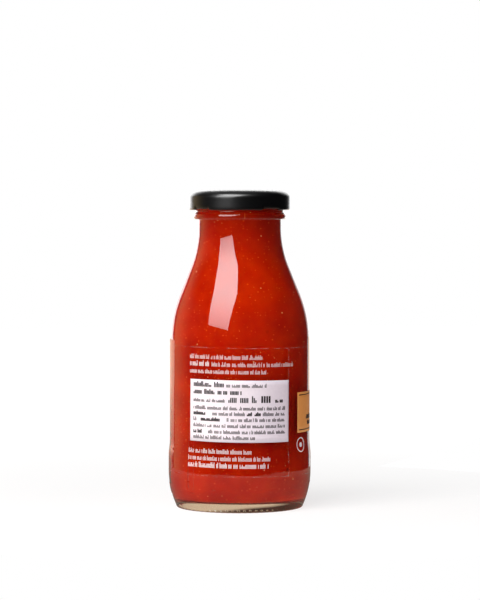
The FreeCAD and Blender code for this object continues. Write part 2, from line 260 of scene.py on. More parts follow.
# Soda-lime glass straight from the mould: clear, with the least green tint, and a fire-polished
# face that mirrors its surroundings sharply. Tin oxide, sprayed on while the glass is hot, covers
# part of it; its index of 1.9 makes it mirror more than bare glass. Light passes the glass
# unbent, to reach the sauce behind it.
glass, tree, out = material("soda_lime_container_glass")
place = add(tree, "ShaderNodeTexCoord").outputs["Object"]
ripple = add(tree, "ShaderNodeTexNoise", {"Vector": place, "Scale": 420.0, "Detail": 1.5})
bump = add(tree, "ShaderNodeBump", {"Height": ripple.outputs["Fac"], "Strength": 1.0,
                                    "Distance": 0.012 * MM})
shell = add(tree, "ShaderNodeBsdfPrincipled", {
    "Base Color": linear("#F4FAF6"), "Roughness": 0.0, "IOR": 1.52, "Transmission Weight": 1.0,
    "Coat Weight": 0.6, "Coat Roughness": 0.0, "Coat IOR": 1.9,
    "Normal": bump.outputs[0]})
clear = add(tree, "ShaderNodeBsdfTransparent", {"Color": linear("#F4FAF6")})
path = add(tree, "ShaderNodeLightPath")
mix = add(tree, "ShaderNodeMixShader", {0: path.outputs["Is Shadow Ray"], 1: shell.outputs[0],
                                        2: clear.outputs[0]})
tree.links.new(mix.outputs[0], out.inputs["Surface"])
jar.data.materials.append(glass)
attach(jar, "root")
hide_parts("jar_glass")

# ---------------------------------------------------------------- the sauce
# A smooth cooked tomato sauce, filled hot and set against the glass with no air between: fine
# pulp with pale flecks of garlic and darker specks of herb and skin.

SAUCE_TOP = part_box("sauce")[1][2] / MM
REACH = 0.12                    # how far the sauce's face lies inside the glass wall


def sauce_profile():
    """The glass's hollow, moved out by REACH, from the floor's middle up to the level surface."""
    inset = WALL - REACH
    wall = BODY_RADIUS - inset
    rise = shoulder_points(inset)
    return np.vstack([
        [(0, FLOOR - REACH)],
        straight((4, FLOOR - REACH), (wall - FLOOR_ROUND, FLOOR - REACH), 5),
        arc(wall - FLOOR_ROUND, FLOOR - REACH + FLOOR_ROUND, FLOOR_ROUND, -90, 0, 14),
        straight(rise[0] - (0, 50), rise[0], 12)[1:],
        rise,
        straight(rise[-1], (rise[-1][0], SAUCE_TOP), 3)[1:],
        [(rise[-1][0], SAUCE_TOP), (rise[-1][0] / 2, SAUCE_TOP), (0, SAUCE_TOP)],
    ])


sauce = lathe("sauce_fill", sauce_profile(), 192)

# Cooked tomato pulp: light enters some millimetres and comes back redder, so its face is soft
# and deep. Clouds of thicker pulp are 10 to 20 mm across.
pulp, tree, out = material("cooked_tomato_pulp")
place = add(tree, "ShaderNodeTexCoord").outputs["Object"]
cloud = add(tree, "ShaderNodeTexNoise", {"Vector": place, "Scale": 70.0, "Detail": 4.0,
                                         "Roughness": 0.55})
tone = add(tree, "ShaderNodeValToRGB", {"Fac": cloud.outputs["Fac"]})
tone.color_ramp.elements[0].position = 0.36
tone.color_ramp.elements[0].color = linear("#B01600")
tone.color_ramp.elements[1].position = 0.66
tone.color_ramp.elements[1].color = linear("#C62800")


def flecks(under, size_mm, share, colour):
    """Lays scattered flecks over a colour: soft-edged specks, each amid a cell 2.5 times as wide.
    Of all cells only this share is picked, those with the highest random numbers, and the higher
    the number, the stronger the fleck."""
    cells = add(tree, "ShaderNodeTexVoronoi", {"Vector": place, "Scale": 0.4 / (size_mm * MM)})
    near = add(tree, "ShaderNodeMapRange", {"Value": cells.outputs["Distance"],
                                            "From Min": 0.14, "From Max": 0.26,
                                            "To Min": 1.0, "To Max": 0.0})
    chance = add(tree, "ShaderNodeSeparateColor", {"Color": cells.outputs["Color"]})
    picked = add(tree, "ShaderNodeMapRange", {"Value": chance.outputs["Red"],
                                              "From Min": 1 - share, "From Max": 1.0})
    both = add(tree, "ShaderNodeMath", {0: near.outputs[0], 1: picked.outputs[0]},
               operation="MULTIPLY")
    return add(tree, "ShaderNodeMix", {0: both.outputs[0], 6: under, 7: linear(colour)},
               data_type="RGBA").outputs[2]


FLECKS = [                      # size in millimetres, share picked and colour
    (0.7, 0.2, "#E3511F"), (0.45, 0.24, "#F4693B"),         # paler pulp
    (1.6, 0.015, "#6D1103"), (0.6, 0.04, "#FFC08A"),        # herb or skin, and garlic
]
colour = tone.outputs["Color"]
for size_mm, share, shade in FLECKS:
    colour = flecks(colour, size_mm, share, shade)
body = add(tree, "ShaderNodeBsdfPrincipled", {
    "Base Color": colour, "Roughness": 0.6, "IOR": 1.38, "Specular IOR Level": 0.3,
    "Specular Tint": linear("#FF6A20"), "Subsurface Weight": 1.0,
    "Subsurface Radius": (1.0, 0.14, 0.05), "Subsurface Scale": 12 * MM})

# Where the sauce is seen through the glass at a flat angle, as it is through the foot, the glass
# turns all light back from it: its face becomes a mirror between 63 and 66 degrees from its
# normal, whose cosines are one less these two numbers.
MIRROR_FROM, MIRROR_TO = 0.54, 0.6
flat = add(tree, "ShaderNodeLayerWeight", {"Blend": 0.5})
turned_back = add(tree, "ShaderNodeMapRange", {"Value": flat.outputs["Facing"],
                                               "From Min": MIRROR_FROM, "From Max": MIRROR_TO})
mirror = add(tree, "ShaderNodeBsdfGlossy", {"Color": linear("#EAD4C2"), "Roughness": 0.03})
face = add(tree, "ShaderNodeMixShader", {0: turned_back.outputs[0], 1: body.outputs[0],
                                         2: mirror.outputs[0]})
tree.links.new(face.outputs[0], out.inputs["Surface"])
sauce.data.materials.append(pulp)
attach(sauce, "root")
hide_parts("sauce")

# ---------------------------------------------------------------- the cap
# A twist-off cap, drawn from tinplate 0.25 mm thick that was lacquered black first: a sunk top
# with a safety button, a round shoulder, a straight skirt and a rolled edge that is pressed up
# and in over each of its four lugs.

CAP_FOOT, CAP_TOP = (corner[2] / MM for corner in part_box("cap"))
CAP_ROOM = 2.9                  # from the finish to the skirt's outer face
CAP_RADIUS = FINISH_RADIUS + CAP_ROOM
SHEET = 0.25
SHOULDER_WIDE, SHOULDER_HIGH, CURL = 6.0, 3.2, 1.5
RIDGE, SINK = CAP_RADIUS - 7.9, 0.8
BUTTON, BUTTON_RISE, STEP = 9.0, 0.4, 1.0
LUGS, LUG_PHASE, LUG_WIDTH, LUG_LIFT, LUG_DENT = 4, 40.0, 9.6, 0.6, 0.3
LUG_FADE, LUG_TUCK = 1.6, 0.75


def soft_step(share):
    """A ramp from nought to one with level ends: three times the square less twice the cube."""
    share = np.clip(share, 0, 1)
    return share * share * (3 - 2 * share)


def cap_top_points(drop):
    """The cap's top from its middle out to its shoulder, lowered by drop: a raised button, a sunk
    ring and a raised rim, joined by level-ended ramps."""
    across = np.concatenate([np.linspace(0, BUTTON - STEP, 4), np.linspace(BUTTON - STEP, BUTTON,
                             7)[1:], np.linspace(BUTTON, RIDGE - STEP, 4)[1:],
                             np.linspace(RIDGE - STEP, RIDGE, 7)[1:]])
    button = BUTTON_RISE * (1 - soft_step((across - BUTTON + STEP) / STEP))
    rim = SINK * soft_step((across - RIDGE + STEP) / STEP)
    return np.column_stack([across, CAP_TOP - drop - SINK + button + rim])


def cap_shoulder_points(inset, count):
    """The cap's shoulder from its top round to its skirt: a quarter of an oval wider than high,
    moved in by inset."""
    quarter = arc(0, 0, 1, 90, 0, count) * (SHOULDER_WIDE - inset, SHOULDER_HIGH - inset)
    return quarter + (CAP_RADIUS - SHOULDER_WIDE, CAP_TOP - SHOULDER_HIGH)


def cap_profile():
    """The pressed sheet's section: over the top, down the skirt, round the curl, and back up the
    inside at one sheet's thickness."""
    roll = CURL / 2
    return np.vstack([
        cap_top_points(0),
        cap_shoulder_points(0, 18),
        straight((CAP_RADIUS, CAP_TOP - SHOULDER_HIGH), (CAP_RADIUS, CAP_FOOT + roll), 6)[1:],
        arc(CAP_RADIUS - roll, CAP_FOOT + roll, roll, 0, -180, 13),
        [(CAP_RADIUS - CURL, CAP_FOOT + CURL),
         (CAP_RADIUS - SHEET, CAP_FOOT + CURL + SHEET)],
        cap_shoulder_points(SHEET, 12)[::-1],
        cap_top_points(SHEET)[::-1],
    ])[::-1]


def press_lugs(piece):
    """Presses the rolled edge up by LUG_LIFT and in by LUG_DENT over each lug, and carries its
    inner side in by LUG_TUCK more, towards the finish. The press fades out over LUG_FADE at each
    end, and above the curl."""
    points = np.empty(len(piece.data.vertices) * 3)
    piece.data.vertices.foreach_get("co", points)
    x, y, z = points.reshape(-1, 3).T / MM
    turn, across = np.arctan2(y, x), np.hypot(x, y)
    pitch = 2 * np.pi / LUGS
    away = np.abs((turn - math.radians(LUG_PHASE) + pitch / 2) % pitch - pitch / 2) * CAP_RADIUS
    low = 1 - soft_step((z - CAP_FOOT - 0.4) / (CURL + 0.6))
    press = 1 - soft_step((away - LUG_WIDTH / 2 + LUG_FADE / 2) / LUG_FADE)
    press = press * low * (across > RIDGE)
    inner = soft_step((CAP_RADIUS - 0.5 - across) / 0.8)
    across_new = across - press * (LUG_DENT + LUG_TUCK * inner)
    z_new = z + press * LUG_LIFT * (1 - inner / 2)
    scale = across_new / np.maximum(across, 1e-6)
    moved = np.column_stack([x * scale, y * scale, z_new]) * MM
    piece.data.vertices.foreach_set("co", moved.ravel())
    piece.data.update()


cap = lathe("cap_shell", cap_profile(), 360)
press_lugs(cap)

# Baked epoxy lacquer on tinplate, satin black, with the faintest orange peel, half a millimetre
# across, and a coat of satin varnish over it. Both spread reflections into soft grey bands.
lacquer, tree, out = material("satin_black_lacquer_on_tinplate")
place = add(tree, "ShaderNodeTexCoord").outputs["Object"]
peel = add(tree, "ShaderNodeTexNoise", {"Vector": place, "Scale": 1800.0, "Detail": 2.0})
bump = add(tree, "ShaderNodeBump", {"Height": peel.outputs["Fac"], "Strength": 0.12,
                                    "Distance": 0.02 * MM})
wear = add(tree, "ShaderNodeTexNoise", {"Vector": place, "Scale": 120.0, "Detail": 5.0})
rough = add(tree, "ShaderNodeMapRange", {"Value": wear.outputs["Fac"], "From Min": 0.3,
                                         "From Max": 0.7, "To Min": 0.27, "To Max": 0.33})
body = add(tree, "ShaderNodeBsdfPrincipled", {
    "Base Color": linear("#040406"), "Roughness": rough.outputs[0], "IOR": 1.6,
    "Coat Weight": 1.0, "Coat Roughness": 0.3, "Coat IOR": 1.6,
    "Normal": bump.outputs[0]})
tree.links.new(body.outputs[0], out.inputs["Surface"])
cap.data.materials.append(lacquer)
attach(cap, "root")
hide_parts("cap")

# ---------------------------------------------------------------- the label's film
# One strip of clear polypropylene film, wound once round the jar over the straight wall and the
# band, lapped on itself by a few millimetres and stuck down slightly askew.

LABEL_FOOT, LABEL_TOP = 16.4, SHOULDER_FOOT - 1.9
LABEL_MIDDLE = (LABEL_FOOT + LABEL_TOP) / 2
TILT = math.radians(0.8)
SEAM = 43.4                     # degrees from the front to the film's outer end
LAP, LAP_RAMP = 5.0, 2.0        # degrees by which the ends lap, and over which the outer one rises
FILM, GAP = 0.05, 0.01          # the film's thickness, and the gap that keeps two skins apart


def arc_length(degrees):
    """Degrees from the front as millimetres of arc at the body's radius."""
    return math.radians(degrees) * BODY_RADIUS


def wall_radius(up):
    """The glass's outer radius at a height on the label: the straight wall, the band, and between
    them a ramp close to the two arcs of the mould."""
    return BODY_RADIUS + BAND_STAND * soft_step((PANEL_FOOT - up) / (PANEL_FOOT - BAND_TOP))


def on_label(along, up, lift):
    """Places label coordinates on the jar: along is the arc from the front in millimetres at the
    body's radius, up the height before the film's tilt, and lift the distance from the glass.
    The tilt turns the whole label clockwise about the front-to-back axis."""
    turn = along / BODY_RADIUS
    height = up - np.sin(TILT) * BODY_RADIUS * np.sin(turn)
    turn = turn + np.sin(TILT) * (up - LABEL_MIDDLE) / BODY_RADIUS * np.cos(turn)
    radius = wall_radius(height) + lift
    return np.stack(np.broadcast_arrays(radius * np.sin(turn), -radius * np.cos(turn), height),
                    axis=-1) * MM


def sheet_piece(name, along, up, lift, thickness):
    """A skin of the label as a closed slab: a grid over along and up, laid on the jar at lift,
    with a second face one thickness below it and a strip round all four edges. Its UV map holds
    along and up in millimetres, divided by a hundred."""
    a, u = np.meshgrid(along, up, indexing="ij")
    over, under = on_label(a, u, lift + thickness), on_label(a, u, lift)
    rows, columns = a.shape
    count = rows * columns
    i, j = np.meshgrid(np.arange(rows - 1), np.arange(columns - 1), indexing="ij")
    corner = i * columns + j
    face = np.stack([corner, corner + columns, corner + columns + 1, corner + 1],
                    axis=-1).reshape(-1, 4)
    edge = np.concatenate([np.arange(columns), np.arange(1, rows) * columns + columns - 1,
                           (rows - 1) * columns + np.arange(columns - 2, -1, -1),
                           np.arange(rows - 2, 0, -1) * columns])
    after = np.roll(edge, -1)
    rim = np.column_stack([edge, after, after + count, edge + count])
    faces = np.vstack([face, face[:, ::-1] + count, rim])
    piece = made_of(name, np.vstack([over.reshape(-1, 3), under.reshape(-1, 3)]), faces.tolist())
    mesh = piece.data
    flat = np.tile(np.column_stack([a.ravel(), u.ravel()]) / 100, (2, 1))
    corners = np.empty(len(mesh.loops), dtype=np.int32)
    mesh.loops.foreach_get("vertex_index", corners)
    mesh.uv_layers.new(name="label").data.foreach_set("uv", flat[corners].ravel())
    mesh.polygons.foreach_set("use_smooth", [True] * (2 * len(face)) + [False] * len(rim))
    return piece


def film_strip():
    """The film's grid: arc lengths from its inner end round to its outer end, and heights, which
    lie closer together where the wall leads from the band to the straight part."""
    turn = np.radians(np.linspace(SEAM - 360 - LAP, SEAM, 260))
    up = np.concatenate([np.linspace(LABEL_FOOT, BAND_TOP + 1, 5),
                         np.linspace(BAND_TOP + 1, PANEL_FOOT, 8)[1:],
                         np.linspace(PANEL_FOOT, LABEL_TOP, 12)[1:]])
    return turn * BODY_RADIUS, up


# The outer end rises by one thickness over LAP_RAMP degrees, to lie on the inner end.
along, up = film_strip()
film = sheet_piece("label_film_wrap", along, up, 0.0, FILM)
points = np.empty(len(film.data.vertices) * 3)
film.data.vertices.foreach_get("co", points)
points = points.reshape(-1, 3)
turn = np.repeat(along, len(up)) / BODY_RADIUS
ramp = soft_step((turn - math.radians(SEAM - LAP - LAP_RAMP)) / math.radians(LAP_RAMP))
lapped = np.tile(ramp, 2) * (FILM + GAP) * MM
reach = np.hypot(points[:, 0], points[:, 1])
points[:, :2] *= (1 + (lapped + GAP * MM) / reach)[:, None]
film.data.vertices.foreach_set("co", points.ravel())
film.data.update()

# Clear film, stuck on with a clear adhesive: all but invisible on the glass, with broken pale
# lines where trapped air shows along its cut edges.
clear_film, tree, out = material("clear_polypropylene_film")
map_ = add(tree, "ShaderNodeUVMap", uv_map="label").outputs["UV"]
split = add(tree, "ShaderNodeSeparateXYZ", {"Vector": map_})
place = add(tree, "ShaderNodeTexCoord").outputs["Object"]
air = add(tree, "ShaderNodeTexNoise", {"Vector": place, "Scale": 350.0, "Detail": 3.0})
LINE_HALF, LINE_SOFT = 0.12, 0.1


def near_line(value, at):
    """One within LINE_HALF of a place along one label coordinate, fading to nothing over
    LINE_SOFT."""
    gap = add(tree, "ShaderNodeMath", {0: value, 1: at / 100}, operation="SUBTRACT")
    size = add(tree, "ShaderNodeMath", {0: gap.outputs[0]}, operation="ABSOLUTE")
    return add(tree, "ShaderNodeMapRange", {
        "Value": size.outputs[0], "From Min": LINE_HALF / 100,
        "From Max": (LINE_HALF + LINE_SOFT) / 100, "To Min": 1.0, "To Max": 0.0}).outputs[0]


edges = [near_line(split.outputs["Y"], LABEL_TOP), near_line(split.outputs["Y"], LABEL_FOOT),
         near_line(split.outputs["X"], arc_length(SEAM))]
line = edges[0]
for other in edges[1:]:
    line = add(tree, "ShaderNodeMath", {0: line, 1: other}, operation="MAXIMUM").outputs[0]
broken = add(tree, "ShaderNodeMapRange", {"Value": air.outputs["Fac"], "From Min": 0.45,
                                          "From Max": 0.62, "To Min": 0.0, "To Max": 0.15})
alpha = add(tree, "ShaderNodeMath", {0: line, 1: broken.outputs[0]}, operation="MULTIPLY")
body = add(tree, "ShaderNodeBsdfPrincipled", {
    "Base Color": linear("#F4F2F0"), "Roughness": 0.2, "IOR": 1.49, "Alpha": alpha.outputs[0]})
tree.links.new(body.outputs[0], out.inputs["Surface"])
film.data.materials.append(clear_film)
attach(film, "root")
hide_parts("label_film")

# ---------------------------------------------------------------- the printed panel
# A field of opaque white ink, printed on the film to carry small dark print, and above and below
# it rows of the same white. The print is blank rows of upright strokes: no letters.

PANEL_LEFT, PANEL_RIGHT = arc_length(-43.6), arc_length(43.4)
PANEL_MIDDLE, PANEL_HALF = LABEL_MIDDLE + 0.5, 13.7
PANEL_LOW, PANEL_HIGH = PANEL_MIDDLE - PANEL_HALF, PANEL_MIDDLE + PANEL_HALF
INK = 0.02
ON_FILM = 2 * FILM + 0.03                   # clear of both turns of the film
ON_INK = ON_FILM + INK + 0.015


def spaced(first, last, step):
    """Evenly spaced numbers from first to last, no further apart than step."""
    return np.linspace(first, last, max(2, math.ceil(abs(last - first) / step) + 1))


panel = sheet_piece("label_panel_field", spaced(PANEL_LEFT, PANEL_RIGHT, 0.8),
                    spaced(PANEL_LOW, PANEL_HIGH, 2.5), ON_FILM, INK)


def ink(name, grain, low, high, roughness=0.5):
    """A printing ink: two close shades, mottled in patches of one over grain metres."""
    made, tree, out = material(name)
    place = add(tree, "ShaderNodeTexCoord").outputs["Object"]
    mottle = add(tree, "ShaderNodeTexNoise", {"Vector": place, "Scale": grain, "Detail": 2.0})
    tone = add(tree, "ShaderNodeValToRGB", {"Fac": mottle.outputs["Fac"]})
    tone.color_ramp.elements[0].color = linear(low)
    tone.color_ramp.elements[1].color = linear(high)
    body = add(tree, "ShaderNodeBsdfPrincipled", {
        "Base Color": tone.outputs["Color"], "Roughness": roughness, "IOR": 1.48})
    tree.links.new(body.outputs[0], out.inputs["Surface"])
    return made


# Flexographic white, a little cool, with a soft gloss: one pass of titanium white on the panel and
# two on the rows of print. Process black, close to neutral.
white_ink = ink("flexographic_white_ink", 900.0, "#E5E1ED", "#F1EBF6", 0.45)
dense_ink = ink("flexographic_white_ink_two_passes", 900.0, "#F2F0F4", "#FBF8FA", 0.45)
black_ink = ink("flexographic_black_ink", 1500.0, "#18161A", "#2C282C")
panel.data.materials.append(white_ink)
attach(panel, "root")
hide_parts("label_panel")

STROKE_PITCH = 0.46             # two strokes to the width of a small letter
SMALL_LETTER = 1.35             # the height that goes with that pitch
FINE, REGULAR, BOLD = 0.15, 0.28, 0.52      # stroke widths
TALL, SHORT = 1.38, 0.55        # heights of the taller and shorter strokes, as shares of the rest


def strokes(rows, seed):
    """Blank print as rectangles (left, right, foot, top). Each row is (from, to, foot of the
    line, height, stroke width): runs of 4 to 18 upright strokes with gaps between the runs. One
    stroke in six is taller, one in eight is half height and one in sixteen, though never a
    run's first or last, is left out. Taller rows and wider strokes stand farther apart."""
    random = np.random.default_rng(seed)
    made = []
    for start, end, foot, small, width in rows:
        pitch = (STROKE_PITCH * (0.6 + 0.4 * small / SMALL_LETTER)
                 * (1 + 0.35 * (width / REGULAR - 1)))
        centre = start
        while centre < end - 3 * pitch:
            length = min(int(random.integers(4, 19)), int((end - centre) / pitch))
            place = centre + pitch * np.arange(length)
            kind = random.random(length)
            top = foot + small * np.select([kind < 0.17, kind > 0.88], [TALL, SHORT], 1.0)
            kept = (random.random(length) > 0.06) | (np.arange(length) % (length - 1) == 0)
            made.append(np.column_stack([place, place + width, np.full(length, foot), top])[kept])
            centre = place[-1] + width + 2 * pitch
    return np.vstack(made)


def ink_piece(name, points, faces, ink_material):
    """A piece of ink on the label, of these points and faces."""
    piece = made_of(name, points, faces.tolist())
    piece.data.materials.append(ink_material)
    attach(piece, "root")
    return piece


def printed(name, boxes, lift, ink_material):
    """Rectangles of ink as small closed slabs laid on the jar, all in one piece: eight corners
    and six faces each, worked out for all of them at once."""
    left, right, foot, top = boxes.T
    a = np.stack([left, right, right, left] * 2, axis=1)
    u = np.stack([foot, foot, top, top] * 2, axis=1)
    raised = np.repeat([[lift] * 4 + [lift + INK] * 4], len(boxes), axis=0)
    points = on_label(a, u, raised).reshape(-1, 3)
    corners = np.array([[3, 2, 1, 0], [4, 5, 6, 7], [0, 1, 5, 4], [1, 2, 6, 5], [2, 3, 7, 6],
                        [3, 0, 4, 7]])
    faces = (np.arange(len(boxes))[:, None, None] * 8 + corners).reshape(-1, 4)
    return ink_piece(name, points, faces, ink_material)


WHITE_ROWS = [                  # from and to along the label, foot, height and stroke width
    (-24.2, 10.4, 68.2, 1.45, FINE), (-24.2, -13.6, 65.0, 1.75, 0.24),
    (-12.8, 27.2, 65.0, 1.45, FINE), (-24.2, 12.3, 61.8, 1.45, FINE),
    (-24.5, 5.8, 26.5, 1.5, FINE), (-24.5, 14.3, 23.4, 1.5, FINE),
    (-24.5, 14.8, 20.2, 1.75, 0.24),
]
printed("white_print", strokes(WHITE_ROWS, 11), ON_FILM, dense_ink)

DARK_ROWS = [
    (-22.0, -6.9, 55.9, 1.7, BOLD), (-6.0, 13.3, 55.9, 1.3, REGULAR),
    (-22.0, 1.2, 52.7, 1.6, BOLD),
    (-22.0, -6.4, 49.2, 1.1, REGULAR), (-5.0, 8.0, 49.2, 2.2, 0.55), (9.6, 15.3, 49.2, 3.0, 0.85),
    (16.3, 21.8, 49.2, 1.3, BOLD),
    (-22.0, 21.8, 45.9, 1.2, REGULAR),
    (-22.0, -13.0, 43.4, 1.25, BOLD), (-12.2, 2.6, 43.4, 1.2, REGULAR),
    (3.2, 9.6, 43.4, 1.25, BOLD), (10.4, 21.8, 43.4, 1.2, REGULAR),
    (-22.0, -18.6, 40.8, 1.2, REGULAR), (-18.0, -6.4, 40.8, 1.25, BOLD),
    (-5.6, 21.8, 40.8, 1.2, REGULAR),
    (-22.0, 21.8, 38.1, 1.2, REGULAR),
    (-22.0, -15.0, 35.4, 1.25, BOLD), (-14.2, 21.8, 35.4, 1.2, REGULAR),
    (-22.0, 7.1, 32.9, 1.2, REGULAR),
]
printed("panel_print", strokes(DARK_ROWS, 5), ON_INK, black_ink)

# ---------------------------------------------------------------- the printed plate
# A field of ochre ink on the side of the label away from the panel, with two dark rules and a few
# blank rows of print.

PLATE_LEFT, PLATE_RIGHT = arc_length(54.7), arc_length(124.7)
PLATE_MIDDLE, PLATE_HALF = LABEL_MIDDLE - 0.65, 9.0
PLATE_LOW, PLATE_HIGH = PLATE_MIDDLE - PLATE_HALF, PLATE_MIDDLE + PLATE_HALF
plate = sheet_piece("label_plate_field", spaced(PLATE_LEFT, PLATE_RIGHT, 0.8),
                    spaced(PLATE_LOW, PLATE_HIGH, 3), ON_FILM, INK)

# Spot ink in a bronze shade of ochre, matt and faintly mottled.
ochre_ink = ink("bronze_ochre_spot_ink", 700.0, "#EDA353", "#F9AE5D")
plate.data.materials.append(ochre_ink)
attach(plate, "root")
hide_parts("label_plate")


def ruled(left, right, foot, top):
    """A long rule cut into millimetre lengths, so that it bends round the jar."""
    cuts = spaced(left, right, 1.0)
    return np.column_stack([cuts[:-1], cuts[1:], np.full(len(cuts) - 1, foot),
                            np.full(len(cuts) - 1, top)])


RULE_INSET, RULE = 1.0, 0.42
left, right = PLATE_LEFT + RULE_INSET, PLATE_RIGHT - RULE_INSET
frame_rules = np.vstack([
    ruled(left, right, PLATE_HIGH - RULE_INSET - RULE, PLATE_HIGH - RULE_INSET),
    ruled(left, right, PLATE_LOW + RULE_INSET, PLATE_LOW + RULE_INSET + RULE),
    strokes([(PLATE_LEFT + 8.2, PLATE_RIGHT - 8.2, 41.0, 1.8, 0.45),
             (PLATE_LEFT + 10, PLATE_RIGHT - 10, 38.4, 1.6, 0.4)], 8)])
printed("plate_print", frame_rules, ON_INK, black_ink)

# A plain ring with a dot in it, printed white below the plate. The dot is all but closed.
RING_AT, RING_UP = arc_length(59.6), 29.8
RING_RADIUS, RING_STROKE, DOT_RADIUS, DOT_STROKE = 3.3, 0.45, 1.1, 1.05


def ring_piece(name, radius, stroke):
    """A flat ring on the label: a closed band whose section is a thin rectangle, carried round a
    circle in label coordinates."""
    turn = np.linspace(0, 2 * np.pi, 64, endpoint=False)
    reach = np.array([radius - stroke, radius, radius, radius - stroke])[:, None]
    raised = np.array([0, 0, INK, INK])[:, None] + ON_FILM
    points = on_label(RING_AT + reach * np.cos(turn), RING_UP + reach * np.sin(turn),
                      np.broadcast_to(raised, (4, len(turn)))).reshape(-1, 3)
    i, j = np.meshgrid(np.arange(4), np.arange(len(turn)), indexing="ij")
    after, onward = (i + 1) % 4, (j + 1) % len(turn)
    count = len(turn)
    faces = np.stack([i * count + j, i * count + onward, after * count + onward,
                      after * count + j], axis=-1).reshape(-1, 4)
    return ink_piece(name, points, faces, dense_ink)


ring_piece("ring_mark", RING_RADIUS, RING_STROKE)
ring_piece("ring_mark_dot", DOT_RADIUS, DOT_STROKE)

# ---------------------------------------------------------------- the studio
# A white table with a round front edge 0.19 m from the jar, four softboxes, a room that is bright
# behind, dim on the left and dark elsewhere, and a camera with a long lens in front.


def compass(degrees, distance):
    """A place on the floor: degrees from the camera's side, positive to the right, and a
    distance from the jar's axis."""
    turn = math.radians(degrees)
    return (distance * math.sin(turn), -distance * math.cos(turn), 0)


TABLE_LEFT, TABLE_RIGHT = -135, 158     # where the round front edge of the table begins and ends
TABLE_ROUND, TABLE_FAR = 0.19, 1.6
front = [compass(degrees, TABLE_ROUND) for degrees in np.linspace(TABLE_LEFT, TABLE_RIGHT, 60)]
corners = front + [compass(TABLE_RIGHT, TABLE_FAR), compass(180, TABLE_FAR),
                   compass(TABLE_LEFT, TABLE_FAR)]
table = made_of("table", np.array([(0, 0, 0)] + corners),
                [(0, i, i % len(corners) + 1) for i in range(1, len(corners) + 1)])


def straight_sight(tree, path, kind):
    """One for a ray of this kind that has met no diffuse face on its way from the camera, so
    that what it finds is seen and lights nothing."""
    clear = add(tree, "ShaderNodeMath", {0: path.outputs["Diffuse Depth"], 1: 0.5},
                operation="LESS_THAN")
    return add(tree, "ShaderNodeMath", {0: path.outputs[kind], 1: clear.outputs[0]},
               operation="MULTIPLY").outputs[0]


# White laminate. As the camera sees it, most of its white is its own, with enough left to the
# lamps to keep the jar's soft shadow near the jar; farther out all of it is. What the glass and
# the gloss show of it is warm, dim near the jar and bright farther out. That dimness near the jar
# is painted shade: it stands for the jar's own shadow, which the table's own glow doesn't keep. It
# is a light table too: to a face that gathers light from it, it gives more than the lamps put on
# it.
white_table, tree, out = material("white_laminate_table")
board = add(tree, "ShaderNodeBsdfDiffuse", {"Color": linear("#F4F4F4")})
path = add(tree, "ShaderNodeLightPath")
place = add(tree, "ShaderNodeTexCoord").outputs["Object"]
away = add(tree, "ShaderNodeVectorMath", {0: place}, operation="LENGTH").outputs["Value"]


def outward(near, far, low, high):
    """A number that goes from low to high between two distances from the jar's axis."""
    return add(tree, "ShaderNodeMapRange", {"Value": away, "From Min": near, "From Max": far,
                                            "To Min": low, "To Max": high}).outputs[0]


gathering = add(tree, "ShaderNodeMath", {0: path.outputs["Diffuse Depth"], 1: 0.5},
                operation="GREATER_THAN")
GLOWS = [                       # which rays, the share of the table's own light, colour, strength
    (straight_sight(tree, path, "Is Camera Ray"), outward(0.1, 0.4, 0.68, 1.0),
     "#FFFFFF", 1.08),
    # For transmission and glossy rays the glow's strength rises away from the jar: painted shade
    # for the jar's shadow on the table.
    (straight_sight(tree, path, "Is Transmission Ray"), 0.8,
     "#FFE4CC", outward(0.04, 0.3, 0.3, 0.8)),
    (straight_sight(tree, path, "Is Glossy Ray"), 0.9,
     "#FFE2C6", outward(0.1, 0.8, 0.14, 1.2)),
    (gathering.outputs[0], 0.5, "#FFFFFF", 1.1),
]
mix = board
for seen, share, shade, strength in GLOWS:
    glow = add(tree, "ShaderNodeEmission", {"Color": linear(shade), "Strength": strength})
    part = add(tree, "ShaderNodeMath", {0: seen, 1: share}, operation="MULTIPLY")
    mix = add(tree, "ShaderNodeMixShader", {0: part.outputs[0], 1: mix.outputs[0],
                                            2: glow.outputs[0]})
tree.links.new(mix.outputs[0], out.inputs["Surface"])
table.data.materials.append(white_table)


def softbox(name, turn, rise, roll, distance, width, height, radiance, low=1.0, colour="#FFFFFF"):
    """A rectangular lamp at a distance from the jar's middle, turned in degrees from the camera's
    side to the right, raised and rolled in degrees, facing the jar. Its power is the radiance
    times pi times its area. Its light falls off evenly from its middle to its lower edge, where
    it is the share low."""
    lamp = bpy.data.lights.new(name, "AREA")
    lamp.shape = "RECTANGLE"
    lamp.size, lamp.size_y = width, height
    lamp.energy = radiance * math.pi * width * height
    lamp.use_nodes = True
    tree = lamp.node_tree
    tree.nodes.clear()
    spot = add(tree, "ShaderNodeSeparateXYZ", {
        "Vector": add(tree, "ShaderNodeNewGeometry").outputs["Parametric"]})
    fall = add(tree, "ShaderNodeMapRange", {"Value": spot.outputs["Y"], "From Max": 0.5,
                                            "To Min": low, "To Max": 1.0})
    cloth = add(tree, "ShaderNodeEmission", {"Color": linear(colour), "Strength": fall.outputs[0]})
    end = add(tree, "ShaderNodeOutputLight")
    tree.links.new(cloth.outputs[0], end.inputs["Surface"])
    holder = bpy.data.objects.new(name, lamp)
    bpy.context.collection.objects.link(holder)
    turn, rise = math.radians(turn), math.radians(rise)
    holder.location = (distance * math.cos(rise) * math.sin(turn),
                       -distance * math.cos(rise) * math.cos(turn),
                       HEIGHT * MM / 2 + distance * math.sin(rise))
    holder.rotation_euler = (Euler((math.pi / 2 - rise, 0, turn)).to_matrix()
                             @ Matrix.Rotation(math.radians(roll), 3, "Z")).to_euler()
    return holder


